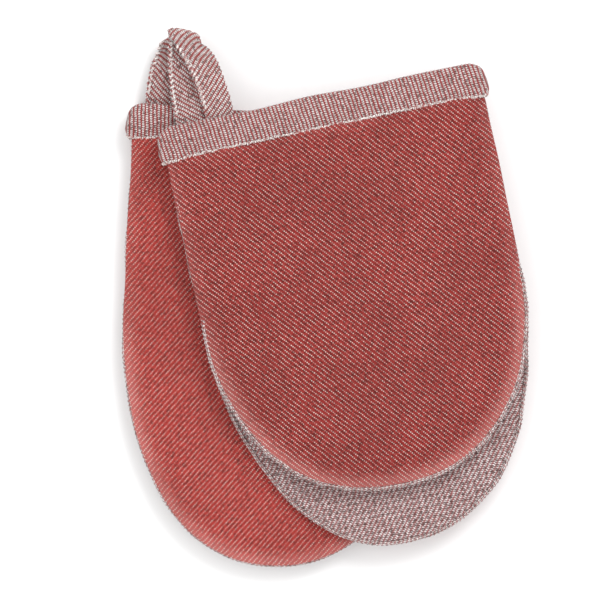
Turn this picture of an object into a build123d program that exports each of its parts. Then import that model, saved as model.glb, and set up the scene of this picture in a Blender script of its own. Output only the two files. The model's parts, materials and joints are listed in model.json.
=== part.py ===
from build123d import *
from dataclasses import dataclass
from math import cos, hypot, radians, sin
import os

# A pair of thumbless padded oven mitts, lying one on the other as they are stored.
# Each mitt is a long panel and a short panel, sewn together round a hand pocket, with
# a bound mouth and a hanging loop. Millimetres, +Z up, the lower mitt on Z = 0.

# ---- driving dimensions -----------------------------------------------------------
HALF_WIDTH = 97.0  # panel, without its edge roll
LONG_STRAIGHT = 141.0  # mouth edge to the start of the oval finger end
LONG_END = 131.0  # depth of the long panel's half-oval end
SHORT_STRAIGHT = 125.0
SHORT_END = 112.0

PAD = 5.0  # thickness of one quilted panel
CLOTH = 1.0  # casing cloth with its turned edge
EDGE_ROUND = 1.8
POCKET = 8.0  # height of the hand pocket lying flat
STACK_GAP = 0.6  # between the two mitts

BINDING = 19.0  # height of the mouth binding
BINDING_FOLD = 1.6  # cloth at the folded edge
BINDING_PROUD = 0.8  # on the pocket side
BINDING_ROUND = 1.5
DITCH = 0.8  # groove between binding and quilted pad, where the stitches lie
TONGUE = 2.6  # pressed pad edge held inside the binding

ROLL = 1.0  # sewn edge roll, width outside the panel
ROLL_HEIGHT = 1.3
SEAM_INSET = 1.0
SEAM_WIDTH = 4.0  # seam allowance between the panels
RUNNING_GAP = 0.4  # between bodies that move apart

TAPE_WIDTH = 17.6
TAPE = 1.4
FOLD_RADIUS = 3.7  # centre of the tape at the fold, so the eye is 6 mm clear
LEG_STEP = 0.75  # each leg's offset from the middle of the loop at its root
ROOT = 3.0  # the loop's legs start this far outside the mouth edge
TAB_DEPTH = 13.0  # tape sewn down inside the mouth

STITCH = 3.0
STITCH_PITCH = 4.6
THREAD = 0.7
STITCH_LIFT = 0.3  # loop stitches stand clear of the sloping tape

LONG_OUTER = 0.0
LONG_INNER = PAD
SHORT_INNER = PAD + POCKET
SHORT_OUTER = PAD + POCKET + PAD
MITT_HEIGHT = SHORT_OUTER


@dataclass
class Mitt:
    """One mitt: its plane lies on the long panel's outer face, y pointing out of the mouth."""

    name: str
    plane: Plane
    loop_side: int  # side of the mouth that carries the loop, -1 or 1 along local x
    loop_root: float  # distance of the loop's middle from the centre line, at the mouth
    loop_tip: float  # the same at the fold
    loop_length: float
    loop_skew: float  # turn of the fold line from the mouth edge, degrees
    loop_drop: float  # lift of the fold towards the short panel


def mitt_plane(x, y, z, turn, up):
    """Plane of a mitt whose mouth centre is at x, y, z, turned about Z and facing up or down."""
    right = Vector(cos(radians(turn)), sin(radians(turn)), 0) * up
    return Plane(origin=(x, y, z), x_dir=right, z_dir=(0, 0, up))


FRONT = Mitt(
    name="front",
    plane=mitt_plane(-4.9, 120.7, MITT_HEIGHT + STACK_GAP, 12.0, 1),
    loop_side=-1,
    loop_root=69.5,
    loop_tip=71.1,
    loop_length=51.3,
    loop_skew=22.8,
    loop_drop=0.0,
)
REAR = Mitt(
    name="rear",
    plane=mitt_plane(-16.9, 110.6, MITT_HEIGHT, -3.7, -1),
    loop_side=1,
    loop_root=73.8,
    loop_tip=76.5,
    loop_length=36.5,
    loop_skew=0.0,
    loop_drop=2.6,
)

os.makedirs("parts", exist_ok=True)


def save(part, mitt, name):
    """Label a finished piece and write it as one STEP."""
    label = f"{mitt.name}_{name}"
    part.label = label
    export_step(part, f"parts/{label}.step")


def panel_face(half_width, start, straight, end, mode=Mode.ADD):
    """Face with straight sides from the start line and a half-oval end, mouth upwards."""
    with BuildLine() as rim:
        corners = [(-half_width, -straight), (-half_width, -start), (half_width, -start)]
        Polyline(*corners, (half_width, -straight))
        EllipticalCenterArc((0, -straight), half_width, end, start_angle=180, arc_size=180)
    make_face(rim.edges(), mode=mode)


def band_face(half_width, top, bottom):
    """Rectangle across the whole mitt between two distances from the mouth edge."""
    with Locations((0, -(top + bottom) / 2)):
        Rectangle(2 * half_width, bottom - top)


def local_direction(plane, x, y, z):
    """World direction of a local vector."""
    return plane.from_local_coords(Vector(x, y, z)) - plane.origin


# ---- quilted panels ---------------------------------------------------------------
def wadding(mitt, outer, inward, straight, end):
    """Soft filling: a flat core under the casing, thinned to a tongue inside the binding."""
    core = PAD - 2 * CLOTH
    tongue = TONGUE - 2 * CLOTH * 0.8
    with BuildPart() as filling:
        with BuildSketch(mitt.plane.offset(outer + inward * CLOTH)):
            panel_face(HALF_WIDTH - CLOTH, BINDING + DITCH + CLOTH, straight, end - CLOTH)
        extrude(amount=inward * core)
        with BuildSketch(mitt.plane.offset(outer + inward * (PAD - tongue) / 2)):
            band_face(HALF_WIDTH - CLOTH, BINDING_FOLD + CLOTH, BINDING + DITCH + 2 * CLOTH)
        extrude(amount=inward * tongue)
    return filling.part


def casing(mitt, outer, inward, straight, end, filling):
    """Cloth of one face: half of the pad with a rounded rim, hollowed for the filling."""
    tongue_step = (PAD - TONGUE) / 2
    with BuildPart() as cloth:
        with BuildSketch(mitt.plane.offset(outer)):
            panel_face(HALF_WIDTH, BINDING + DITCH, straight, end)
        extrude(amount=inward * PAD / 2)
        rim = cloth.faces().sort_by_distance(mitt.plane.from_local_coords(Vector(0, -straight, outer)))[0]
        fillet(rim.edges(), EDGE_ROUND)
        with BuildSketch(mitt.plane.offset(outer + inward * tongue_step)):
            band_face(HALF_WIDTH - CLOTH / 2, BINDING_FOLD, BINDING + DITCH + CLOTH)
        extrude(amount=inward * (PAD / 2 - tongue_step))
        add(filling, mode=Mode.SUBTRACT)
    return cloth.part


def binding(mitt, outer, inward):
    """Bias strip folded over the pressed mouth edge of one panel."""
    slot = (PAD - TONGUE) / 2
    with BuildPart() as strip:
        with BuildSketch(mitt.plane.offset(outer)):
            band_face(HALF_WIDTH + ROLL, 0, BINDING)
        extrude(amount=inward * (PAD + BINDING_PROUD))
        mouth = mitt.plane.from_local_coords(Vector(0, 0, outer + inward * PAD / 2))
        fold = strip.faces().sort_by_distance(mouth)[0]
        fillet(fold.edges(), BINDING_ROUND)
        with BuildSketch(mitt.plane.offset(outer + inward * slot)):
            band_face(HALF_WIDTH - CLOTH / 2, BINDING_FOLD, BINDING)
        extrude(amount=inward * TONGUE, mode=Mode.SUBTRACT)
    return strip.part


def binding_stitching(mitt, outer, inward):
    """Two rows of stitches in the ditch under the binding, one on each face of the panel."""
    tongue_step = (PAD - TONGUE) / 2
    count = int(2 * (HALF_WIDTH - EDGE_ROUND) / STITCH_PITCH)
    rows = (outer + inward * (tongue_step - THREAD), outer + inward * (PAD - tongue_step))
    with BuildPart() as stitches:
        for height in rows:
            with BuildSketch(mitt.plane.offset(height)):
                with Locations((0, -(BINDING + DITCH / 2))):
                    with GridLocations(STITCH_PITCH, 0, count, 1):
                        Rectangle(STITCH, THREAD)
            extrude(amount=inward * THREAD)
    return stitches.part


def edge_roll(mitt, outer, inward, straight, end):
    """Sewn and turned edge where the two cloths of one panel meet, from binding to binding."""
    with BuildPart() as roll:
        with BuildSketch(mitt.plane.offset(outer + inward * (PAD - ROLL_HEIGHT) / 2)):
            panel_face(HALF_WIDTH + ROLL, BINDING + DITCH, straight, end + ROLL)
            panel_face(HALF_WIDTH, 0, straight, end, Mode.SUBTRACT)
        extrude(amount=inward * ROLL_HEIGHT)
    return roll.part


def panel(mitt, name, outer, inward, straight, end):
    """All the pieces of one quilted panel."""
    filling = wadding(mitt, outer, inward, straight, end)
    shell = casing(mitt, outer, inward, straight, end, filling)
    lining = casing(mitt, outer + inward * PAD, -inward, straight, end, filling)
    save(filling, mitt, f"{name}_wadding")
    save(shell, mitt, f"{name}_shell")
    save(lining, mitt, f"{name}_lining")
    save(binding(mitt, outer, inward), mitt, f"{name}_binding")
    save(binding_stitching(mitt, outer, inward), mitt, f"{name}_binding_stitching")
    save(edge_roll(mitt, outer, inward, straight, end), mitt, f"{name}_edge_roll")


# ---- side seam --------------------------------------------------------------------
def side_seam(mitt):
    """Seam allowance that joins the two panels, a U-shaped wall round the hand pocket."""
    half = HALF_WIDTH - SEAM_INSET
    end = SHORT_END - SEAM_INSET
    with BuildPart() as seam:
        with BuildSketch(mitt.plane.offset(LONG_INNER)):
            panel_face(half, BINDING_FOLD, SHORT_STRAIGHT, end)
            panel_face(half - SEAM_WIDTH, 0, SHORT_STRAIGHT, end - SEAM_WIDTH, Mode.SUBTRACT)
        extrude(amount=POCKET - RUNNING_GAP)
        with BuildSketch(mitt.plane.offset(LONG_INNER)):
            band_face(HALF_WIDTH, 0, BINDING + RUNNING_GAP)
        extrude(amount=BINDING_PROUD, mode=Mode.SUBTRACT)
        with BuildSketch(mitt.plane.offset(SHORT_INNER)):
            band_face(HALF_WIDTH, 0, BINDING + RUNNING_GAP)
        extrude(amount=-(BINDING_PROUD + RUNNING_GAP), mode=Mode.SUBTRACT)
    save(seam.part, mitt, "side_seam")


# ---- hanging loop -----------------------------------------------------------------
TAB_LEVEL = LONG_INNER + BINDING_PROUD  # face of the binding that the tape is sewn to
LOOP_LEVEL = TAB_LEVEL + TAPE / 2


def leg_root(mitt, leg):
    """Local centre of a leg at the mouth. leg is -1 for the outer leg, 1 for the inner one."""
    x = mitt.loop_side * (mitt.loop_root - leg * (TAPE_WIDTH + RUNNING_GAP) / 2)
    return Vector(x, ROOT, LOOP_LEVEL + leg * LEG_STEP)


def fold_centre(mitt):
    """Local middle of the loop's fold."""
    return Vector(mitt.loop_side * mitt.loop_tip, mitt.loop_length, LOOP_LEVEL + mitt.loop_drop)


def fold_direction(mitt):
    """Local direction of the fold line."""
    turn = radians(mitt.loop_skew) * mitt.loop_side
    return Vector(cos(turn), sin(turn), 0)


def cross_plane(mitt, centre, along):
    """Plane across a tape: x along the tape's width, y along the mitt's thickness."""
    width = local_direction(mitt.plane, along.X, along.Y, along.Z)
    thickness = mitt.plane.z_dir
    origin = mitt.plane.from_local_coords(centre)
    return Plane(origin=origin, x_dir=width, z_dir=width.cross(thickness))


def loop_tape(mitt):
    """Two legs of tape that lie side by side at the mouth and meet in one fold."""
    along = fold_direction(mitt)
    tip = fold_centre(mitt)
    with BuildPart() as tape:
        for leg in (-1, 1):
            with BuildSketch(cross_plane(mitt, leg_root(mitt, leg), Vector(1, 0, 0))):
                Rectangle(TAPE_WIDTH, TAPE)
            with BuildSketch(cross_plane(mitt, tip + Vector(0, 0, leg * FOLD_RADIUS), along)):
                Rectangle(TAPE_WIDTH, TAPE)
            loft(ruled=True)
        width = local_direction(mitt.plane, along.X, along.Y, along.Z)
        outward = mitt.plane.z_dir.cross(width)
        start = mitt.plane.from_local_coords(tip - along * (TAPE_WIDTH / 2))
        ring = FOLD_RADIUS + TAPE / 2
        with BuildSketch(Plane(origin=start, x_dir=outward, z_dir=width)):
            Circle(ring)
            Circle(ring - TAPE, mode=Mode.SUBTRACT)
            with Locations((-ring / 2, 0)):
                Rectangle(ring, 2 * ring, mode=Mode.SUBTRACT)
        extrude(amount=TAPE_WIDTH)
    save(tape.part, mitt, "loop_tape")


def loop_edge_stitching(mitt):
    """Topstitch along one edge of the tape, on the outside of both legs."""
    along = fold_direction(mitt)
    tip = fold_centre(mitt)
    inset = TAPE_WIDTH / 2 - 2.6
    with BuildPart() as stitches:
        for leg in (-1, 1):
            root = leg_root(mitt, leg) + Vector(mitt.loop_side * inset, 0, 0)
            end = tip + along * (mitt.loop_side * inset) + Vector(0, 0, leg * FOLD_RADIUS)
            run = end - root
            count = int(hypot(run.X, run.Y) / STITCH_PITCH)
            heading = local_direction(mitt.plane, run.X, run.Y, 0)
            for step in range(count):
                spot = root + run * ((step + 0.5) / count)
                spot += Vector(0, 0, leg * (TAPE / 2 + STITCH_LIFT))
                origin = mitt.plane.from_local_coords(spot)
                with BuildSketch(Plane(origin=origin, x_dir=heading, z_dir=mitt.plane.z_dir)):
                    Rectangle(STITCH, THREAD)
                extrude(amount=leg * THREAD / 2)
    save(stitches.part, mitt, "loop_edge_stitching")


def loop_tabs(mitt):
    """Ends of the tape, sewn flat to the binding of the long panel inside the mouth."""
    with BuildPart() as tabs:
        for leg in (-1, 1):
            x = leg_root(mitt, leg).X
            with BuildSketch(mitt.plane.offset(TAB_LEVEL)):
                with Locations((x, -TAB_DEPTH / 2)):
                    Rectangle(TAPE_WIDTH, TAB_DEPTH)
            extrude(amount=TAPE)
    save(tabs.part, mitt, "loop_tabs")


def loop_bartack(mitt):
    """Dense thread bars across both tape ends."""
    bar_width = TAPE_WIDTH - 3.0
    with BuildPart() as bars:
        for leg in (-1, 1):
            with BuildSketch(mitt.plane.offset(TAB_LEVEL + TAPE)):
                with Locations((leg_root(mitt, leg).X, -TAB_DEPTH / 2)):
                    with GridLocations(0, 5.0, 1, 2):
                        Rectangle(bar_width, 1.2)
            extrude(amount=THREAD / 2)
    save(bars.part, mitt, "loop_bartack")


for mitt in (FRONT, REAR):
    panel(mitt, "long", LONG_OUTER, 1, LONG_STRAIGHT, LONG_END)
    panel(mitt, "short", SHORT_OUTER, -1, SHORT_STRAIGHT, SHORT_END)
    side_seam(mitt)
    loop_tape(mitt)
    loop_edge_stitching(mitt)
    loop_tabs(mitt)
    loop_bartack(mitt)
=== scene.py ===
"""A pair of padded pocket mitts in brick-red twill, fanned one on the other.

Sizes inside the classes are millimetres in a mitt's own frame: a runs from left to right
across the mouth, y points out of the mouth, z is the height above the long panel's outer
face, towards the short panel. MittFrame turns them into metres in the part's frame.
"""

import json
import logging
import math
from dataclasses import dataclass, replace
from enum import Enum

import bmesh
import bpy
import numpy as np
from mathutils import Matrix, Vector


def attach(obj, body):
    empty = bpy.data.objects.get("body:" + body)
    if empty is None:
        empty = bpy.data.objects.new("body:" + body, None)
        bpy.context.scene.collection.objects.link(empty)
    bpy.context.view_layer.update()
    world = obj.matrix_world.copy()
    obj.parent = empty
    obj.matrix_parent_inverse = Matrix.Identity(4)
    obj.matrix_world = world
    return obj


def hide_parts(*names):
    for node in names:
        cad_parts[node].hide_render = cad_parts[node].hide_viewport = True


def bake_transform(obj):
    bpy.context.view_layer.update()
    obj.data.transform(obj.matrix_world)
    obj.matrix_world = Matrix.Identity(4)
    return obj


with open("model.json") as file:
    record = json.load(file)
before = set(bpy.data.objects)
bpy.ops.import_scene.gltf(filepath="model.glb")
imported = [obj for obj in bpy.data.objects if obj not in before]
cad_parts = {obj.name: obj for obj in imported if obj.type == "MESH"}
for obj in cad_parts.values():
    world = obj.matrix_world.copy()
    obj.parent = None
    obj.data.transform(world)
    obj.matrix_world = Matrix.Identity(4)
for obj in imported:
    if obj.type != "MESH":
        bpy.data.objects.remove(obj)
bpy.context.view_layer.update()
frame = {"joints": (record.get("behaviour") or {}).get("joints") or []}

LOG = logging.getLogger("mitts")
MM = 0.001
TAU = 2.0 * math.pi
Array = np.ndarray
Colour = tuple[float, float, float, float]
SHEEN_TINT: Colour = (1.0, 0.86, 0.83, 1.0)

PAD = 5.0
POCKET = 8.0
LONG_INNER = PAD
SHORT_INNER = PAD + POCKET
SHORT_OUTER = SHORT_INNER + PAD
HINGE_DEPTH = 237.0  # from the mouth edge to the finger-end hinge
WALE = 2.35  # across the twill lines
FLOAT = 1.29  # from one pale pick to the next along a twill line
WALE_STEP = 0.625  # shift of the picks from one twill line to the next
FLARE_ROWS = (70.0, 100.0)  # where a binding's lower edge starts and ends to flare


class Side(Enum):
    """Which way a panel's face looks along the mitt's z."""

    DOWN = -1
    UP = 1


# ---- shader graph -----------------------------------------------------------------
class Value:
    """A float socket whose operators add Math nodes."""

    def __init__(self, graph: "Graph", socket: bpy.types.NodeSocket) -> None:
        """Wrap one output socket of a graph."""
        self.graph = graph
        self.socket = socket

    def _math(self, operation: str, *others: "Value | float") -> "Value":
        """Add one Math node on this value and others.

        Args:
            operation: Blender's name of the operation.
            others: the second and third operands.

        Returns:
            The node's output.
        """
        return self.graph.math(operation, self, *others)

    def __add__(self, other: "Value | float") -> "Value":
        """Sum."""
        return self._math("ADD", other)

    __radd__ = __add__

    def __sub__(self, other: "Value | float") -> "Value":
        """Difference."""
        return self._math("SUBTRACT", other)

    def __rsub__(self, other: float) -> "Value":
        """Difference from a number."""
        return self.graph.math("SUBTRACT", other, self)

    def __mul__(self, other: "Value | float") -> "Value":
        """Product."""
        return self._math("MULTIPLY", other)

    __rmul__ = __mul__

    def __abs__(self) -> "Value":
        """Absolute value."""
        return self._math("ABSOLUTE")

    def floor(self) -> "Value":
        """Whole number below."""
        return self._math("FLOOR")

    def fract(self) -> "Value":
        """Part after the point."""
        return self._math("FRACT")

    def clamp(self) -> "Value":
        """Held between 0 and 1."""
        return self.graph.node("ShaderNodeClamp", {}, {"Value": self}, "Result")

    def step(self, low: float, high: float) -> "Value":
        """Smooth rise from 0 at low to 1 at high.

        Args:
            low: value where the rise starts.
            high: value where it ends; it may be below low for a fall.

        Returns:
            The smoothed mask.
        """
        settings = {"interpolation_type": "SMOOTHSTEP"}
        falling = high < low
        sockets = {"Value": self, "From Min": min(low, high), "From Max": max(low, high)}
        sockets |= {"To Min": 1.0 if falling else 0.0, "To Max": 0.0 if falling else 1.0}
        return self.graph.node("ShaderNodeMapRange", settings, sockets, "Result")


class Graph:
    """One material's node tree, with short ways to add nodes."""

    def __init__(self, name: str) -> None:
        """Make an empty material of that name."""
        self.material = bpy.data.materials.new(name)
        self.material.use_nodes = True
        self.tree = self.material.node_tree
        self.tree.nodes.clear()

    def _put(self, socket: bpy.types.NodeSocket, value: object) -> None:
        """Link or set one input socket."""
        if isinstance(value, Value):
            self.tree.links.new(value.socket, socket)
        elif isinstance(value, bpy.types.NodeSocket):
            self.tree.links.new(value, socket)
        else:
            socket.default_value = value

    def node(self, kind: str, settings: dict, sockets: dict, output: "str | int") -> Value:
        """Add any node.

        Args:
            kind: the node's type.
            settings: attributes, which are set first.
            sockets: input name or number to a value, a number or a socket.
            output: name or number of the output to return.

        Returns:
            That output.
        """
        made = self.tree.nodes.new(kind)
        for key, value in settings.items():
            setattr(made, key, value)
        for key, value in sockets.items():
            self._put(made.inputs[key], value)
        return Value(self, made.outputs[output])

    def math(self, operation: str, *operands: "Value | float") -> Value:
        """Add a Math node on the operands, in order."""
        sockets = dict(enumerate(operands))
        return self.node("ShaderNodeMath", {"operation": operation}, sockets, 0)

    def cloth_axes(self, angle: float, along: float, across: float) -> tuple[Value, Value]:
        """Coordinates of the cloth turned to its twill lines.

        Args:
            angle: direction of the lines in the cloth, degrees.
            along: length of one repeat along a line, mm.
            across: distance of two lines, mm.

        Returns:
            Repeats along and across the lines, from the piece's cloth map in mm.
        """
        cloth = self.node("ShaderNodeUVMap", {"uv_map": "cloth"}, {}, 0)
        split = self.tree.nodes.new("ShaderNodeSeparateXYZ")
        self.tree.links.new(cloth.socket, split.inputs[0])
        x, y = Value(self, split.outputs[0]), Value(self, split.outputs[1])
        c, s = math.cos(math.radians(angle)), math.sin(math.radians(angle))
        return x * (c / along) + y * (s / along), y * (c / across) - x * (s / across)

    def joined(self, x: "Value | float", y: "Value | float", z: "Value | float" = 0.0) -> Value:
        """A vector of three values."""
        return self.node("ShaderNodeCombineXYZ", {}, {0: x, 1: y, 2: z}, 0)

    def noise(self, scale: float, detail: float = 2.0, rough: float = 0.5) -> Value:
        """Noise in the part's own coordinates, scale in repeats per metre."""
        place = self.node("ShaderNodeTexCoord", {}, {}, "Object")
        sockets = {"Vector": place, "Scale": scale, "Detail": detail, "Roughness": rough}
        return self.node("ShaderNodeTexNoise", {}, sockets, 0)

    def speckle(self, x: Value, y: Value, seed: float) -> Value:
        """One random number for each whole cell of x and y."""
        place = self.joined(x.floor() + 0.5, y.floor() + 0.5, seed)
        settings = {"noise_dimensions": "3D"}
        return self.node("ShaderNodeTexWhiteNoise", settings, {"Vector": place}, 0)

    def mix(self, factor: "Value | float", first: object, second: object) -> Value:
        """Colour between two colours."""
        made = self.tree.nodes.new("ShaderNodeMix")
        made.data_type = "RGBA"
        made.clamp_factor = True
        self._put(made.inputs[0], factor)
        self._put(made.inputs[6], first)
        self._put(made.inputs[7], second)
        return Value(self, made.outputs[2])

    def output(self, shader: Value) -> bpy.types.Material:
        """Send a shader to the material's surface and return the material."""
        out = self.tree.nodes.new("ShaderNodeOutputMaterial")
        self.tree.links.new(shader.socket, out.inputs["Surface"])
        return self.material

    def cloth_surface(
        self, colour: Value, height: Value, relief: float, fuzz: float
    ) -> bpy.types.Material:
        """Finish the material as matt cotton.

        Args:
            colour: the cloth's colour.
            height: the weave's relief, 0 to 1.
            relief: depth of the relief in mm.
            fuzz: weight of the soft sheen of loose fibres.

        Returns:
            The material.
        """
        relief_sockets = {"Strength": 1.0, "Distance": relief * MM, "Height": height}
        bump = self.node("ShaderNodeBump", {}, relief_sockets, 0)
        roughness = self.noise(900.0) * 0.14 + 0.78
        sockets = {"Base Color": colour, "Roughness": roughness, "Normal": bump}
        sockets |= {"Sheen Weight": fuzz, "Sheen Roughness": 0.6, "Sheen Tint": SHEEN_TINT}
        sockets |= {"Specular IOR Level": 0.18}
        return self.output(self.node("ShaderNodeBsdfPrincipled", {}, sockets, 0))


# ---- finishes ---------------------------------------------------------------------
@dataclass(frozen=True)
class RedTwill:
    """Outer face of the cloth: red warp floats with pale picks in diagonal lines."""

    name: str
    angle: float
    red: Colour = (0.257, 0.021, 0.018, 1.0)
    deep: Colour = (0.088, 0.010, 0.008, 1.0)
    bright: Colour = (0.340, 0.041, 0.035, 1.0)
    # painted sheen: pale pink laid over the red near the seams
    rim: Colour = (0.560, 0.180, 0.165, 1.0)
    pale: Colour = (0.710, 0.540, 0.495, 1.0)

    def material(self) -> bpy.types.Material:
        """Pale dots on every line, shifted from line to line, on shaded red ribs, with a painted sheen
        that turns the cloth pale pink near its seams.
        """
        g = Graph(self.name)
        along, across = g.cloth_axes(self.angle, FLOAT, WALE)
        across = across + g.noise(160.0, 2.0) * 0.45
        row = across.floor()
        fv = across.fract() - 0.5
        picks = along + row * WALE_STEP + g.noise(300.0, 2.0) * 0.5
        fu = picks.fract() - 0.5
        chance = g.speckle(picks, across, 3.0)
        fibre = g.noise(2600.0, 3.0, 0.7)
        ridge = (1.0 - fv * fv * 30.0).clamp()
        bead = (1.0 - fu * fu * 8.5).clamp()
        strength = (chance * 1.05 + 0.30) * (g.noise(380.0, 3.0) * 1.5 + 0.30)
        # painted sheen near the seams: stronger pale dots and a pale pink rim over the red, strongest
        # round the finger end
        rim = g.node("ShaderNodeAttribute", {"attribute_name": "rim"}, {}, "Fac")
        dot = (ridge * bead * strength * (rim * 0.5 + 1.0)).clamp()
        speck = g.speckle(along * 1.5, across * 3.0, 8.0)
        dark = speck.step(0.40, 1.0) * 0.80 + abs(fv).step(0.22, 0.5) * 0.15
        dark = dark + abs(fu).step(0.28, 0.5) * ridge * 0.45
        rib = g.mix(dark.clamp(), self.red, self.deep)
        rib = g.mix((1.0 - speck).step(0.6, 1.0) * fibre, rib, self.bright)
        rib = g.mix((rim * (0.38 + fibre * 0.34)).clamp(), rib, self.rim)
        colour = g.mix(dot, rib, self.pale)
        # painted shade: slow broad patches darken the red towards deep, in place of the shading of the
        # wadding's swells
        colour = g.mix(g.noise(24.0, 1.0).step(0.36, 0.64) * 0.17, colour, self.deep)
        height = ridge * 0.55 + dot * 0.35 + fibre * 0.25 - dark * 0.15
        return g.cloth_surface(colour, height, 0.40, 0.07)


@dataclass(frozen=True)
class LightTwill:
    """Reverse of the cloth: off-white and grey picks between thin red lines."""

    name: str
    angle: float
    cells: float = 0.0  # strength of the darker checks of the lining
    lines: float = 1.0  # strength of the red lines
    white: Colour = (0.930, 0.865, 0.855, 1.0)
    grey: Colour = (0.440, 0.340, 0.325, 1.0)
    dark: Colour = (0.060, 0.022, 0.018, 1.0)
    red: Colour = (0.270, 0.028, 0.025, 1.0)

    def material(self) -> bpy.types.Material:
        """Thin broken red lines, pale picks leaning between them and dark pin-holes."""
        g = Graph(self.name)
        along, across = g.cloth_axes(self.angle, FLOAT, WALE)
        across = across + g.noise(170.0, 2.0) * 0.5
        row = across.floor()
        fv = across.fract() - 0.5
        picks = along + row * WALE_STEP + g.noise(320.0, 2.0) * 0.6
        lean = (picks + fv * 1.0).fract() - 0.5
        chance = g.speckle(picks, across, 5.0)
        fine = g.speckle(picks + 0.5, across * 2.0, 9.0)
        fibre = g.noise(2400.0, 3.0, 0.7)
        gap = abs(lean).step(0.17, 0.40)
        light = g.mix((chance * 0.75 + fibre * 0.7 - 0.15).clamp(), self.grey, self.white)
        light = g.mix((gap * (0.97 - fine * 0.22)).clamp(), light, self.dark)
        dots = abs((picks + 0.25).fract() - 0.5).step(0.50, 0.28)
        line = abs(fv).step(0.30, 0.13) * (fine * 0.4 + 0.42 + dots * 0.45)
        light = g.mix((line * self.lines).clamp(), light, self.red)
        holes = fine.step(0.16, 0.04) * (1.0 - line.clamp() * 0.6)
        light = g.mix(holes * 0.7, light, self.dark)
        if self.cells > 0.0:
            light = g.mix(self._checks(g) * self.cells, light, self.dark)
        height = abs(fv).step(0.5, 0.2) * 0.35 + fibre * 0.25 - gap * 0.5 - holes * 0.2
        return g.cloth_surface(light, height, 0.5, 0.06)

    def _checks(self, g: Graph) -> Value:
        """Mask of the slanted checks, one bump of two crossed waves in each."""
        first, _ = g.cloth_axes(self.angle - 103.0, 4.9, 4.9)
        second, _ = g.cloth_axes(self.angle - 3.7, 5.05, 5.05)
        wave = g.math("SINE", first * TAU) * g.math("SINE", second * TAU)
        return (wave + g.noise(500.0, 2.0) * 0.5 - 0.25).step(-0.1, 0.75)


@dataclass(frozen=True)
class Thread:
    """Pale plied sewing thread."""

    name: str = "pale_thread"
    colour: Colour = (0.90, 0.85, 0.83, 1.0)
    shade: Colour = (0.30, 0.22, 0.20, 1.0)
    red: Colour = (0.34, 0.05, 0.045, 1.0)

    def material(self) -> bpy.types.Material:
        """Two tones of thread with a fine twist."""
        g = Graph(self.name)
        fibre = g.noise(1500.0, 2.0)
        yarn = g.mix(fibre.step(0.34, 0.62), self.shade, self.colour)
        yarn = g.mix(g.noise(420.0, 2.0).step(0.52, 0.66) * 0.75, yarn, self.red)
        return g.cloth_surface(yarn, fibre, 0.2, 0.06)


# ---- meshes -----------------------------------------------------------------------
def smooth_noise(x: Array, y: Array, seed: int, wave: float, count: int = 10) -> Array:
    """Sum of seeded plane waves, about -1 to 1.

    Args:
        x: first coordinate, mm.
        y: second coordinate, mm.
        seed: seed of the directions and phases.
        wave: mean wavelength, mm.
        count: number of waves.

    Returns:
        The height at each point.
    """
    draw = np.random.default_rng(seed)
    total = np.zeros(np.shape(x))
    for turn, phase, stretch in draw.random((count, 3)):
        k = TAU / (wave * (0.6 + 0.9 * stretch))
        total += np.sin(k * (x * math.cos(turn * TAU) + y * math.sin(turn * TAU)) + phase * TAU)
    return total / math.sqrt(count)


def rise(x: Array, low: float, high: float) -> Array:
    """Smooth step from 0 at low to 1 at high."""
    t = np.clip((x - low) / (high - low), 0.0, 1.0)
    return t * t * (3.0 - 2.0 * t)


def distance_along(*columns: Array) -> Array:
    """Distance of each point of an open line from its first, from its coordinates."""
    steps = np.sqrt(sum(np.diff(column) ** 2 for column in columns))
    return np.concatenate([[0.0], np.cumsum(steps)])


def resampled(at: Array, run: Array, points: Array) -> Array:
    """Points of a plane line, drawn from distances run to distances at."""
    return np.stack([np.interp(at, run, points[:, k]) for k in (0, 1)], 1)


def even_turn(corners: int) -> Array:
    """Angles spaced evenly over one turn."""
    return np.arange(corners) / corners * TAU


def unit(vectors: Array) -> Array:
    """Rows scaled to length 1."""
    return vectors / np.linalg.norm(vectors, axis=1)[:, None]


def with_tips(rings: Array) -> Array:
    """Rings with the middle of the first and of the last one added as end rings."""
    corners = rings.shape[1]
    first, last = (
        ring.mean(1, keepdims=True).repeat(corners, 1) for ring in (rings[:1], rings[-1:])
    )
    return np.concatenate([first, rings, last])


def ring_faces(rings: int, corners: int) -> Array:
    """Point numbers of the quads between closed rings, as (ring, corner, 4)."""
    i, j = np.meshgrid(np.arange(rings - 1), np.arange(corners), indexing="ij")
    k = (j + 1) % corners
    here, there = i * corners, (i + 1) * corners
    return np.stack([here + j, here + k, there + k, there + j], -1)


def even_section(wide: float, high: float, power: float, corners: int) -> tuple[Array, Array]:
    """Points spaced evenly round a squared oval, each coordinate from -1 to 1.

    Args:
        wide: half width that the section will have.
        high: half height that it will have.
        power: 2 for an oval, more for a squarer one.
        corners: number of points.

    Returns:
        Across and up of each point, in half widths and half heights.
    """
    turn = np.linspace(0.0, TAU, 4001)
    c, s = np.cos(turn), np.sin(turn)
    x = np.sign(c) * np.abs(c) ** (2.0 / power)
    y = np.sign(s) * np.abs(s) ** (2.0 / power)
    run = distance_along(x * wide, y * high)
    at = np.arange(corners) / corners * run[-1]
    return np.interp(at, run, x), np.interp(at, run, y)


def bezier(points: list[tuple[float, float]], t: Array) -> Array:
    """Cubic curve through the first and last of four points, leaning to the middle two."""
    p = np.array(points, float)
    t = t[:, None]
    rest = 1 - t
    return rest**3 * p[0] + 3 * rest**2 * t * p[1] + 3 * rest * t**2 * p[2] + t**3 * p[3]


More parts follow.
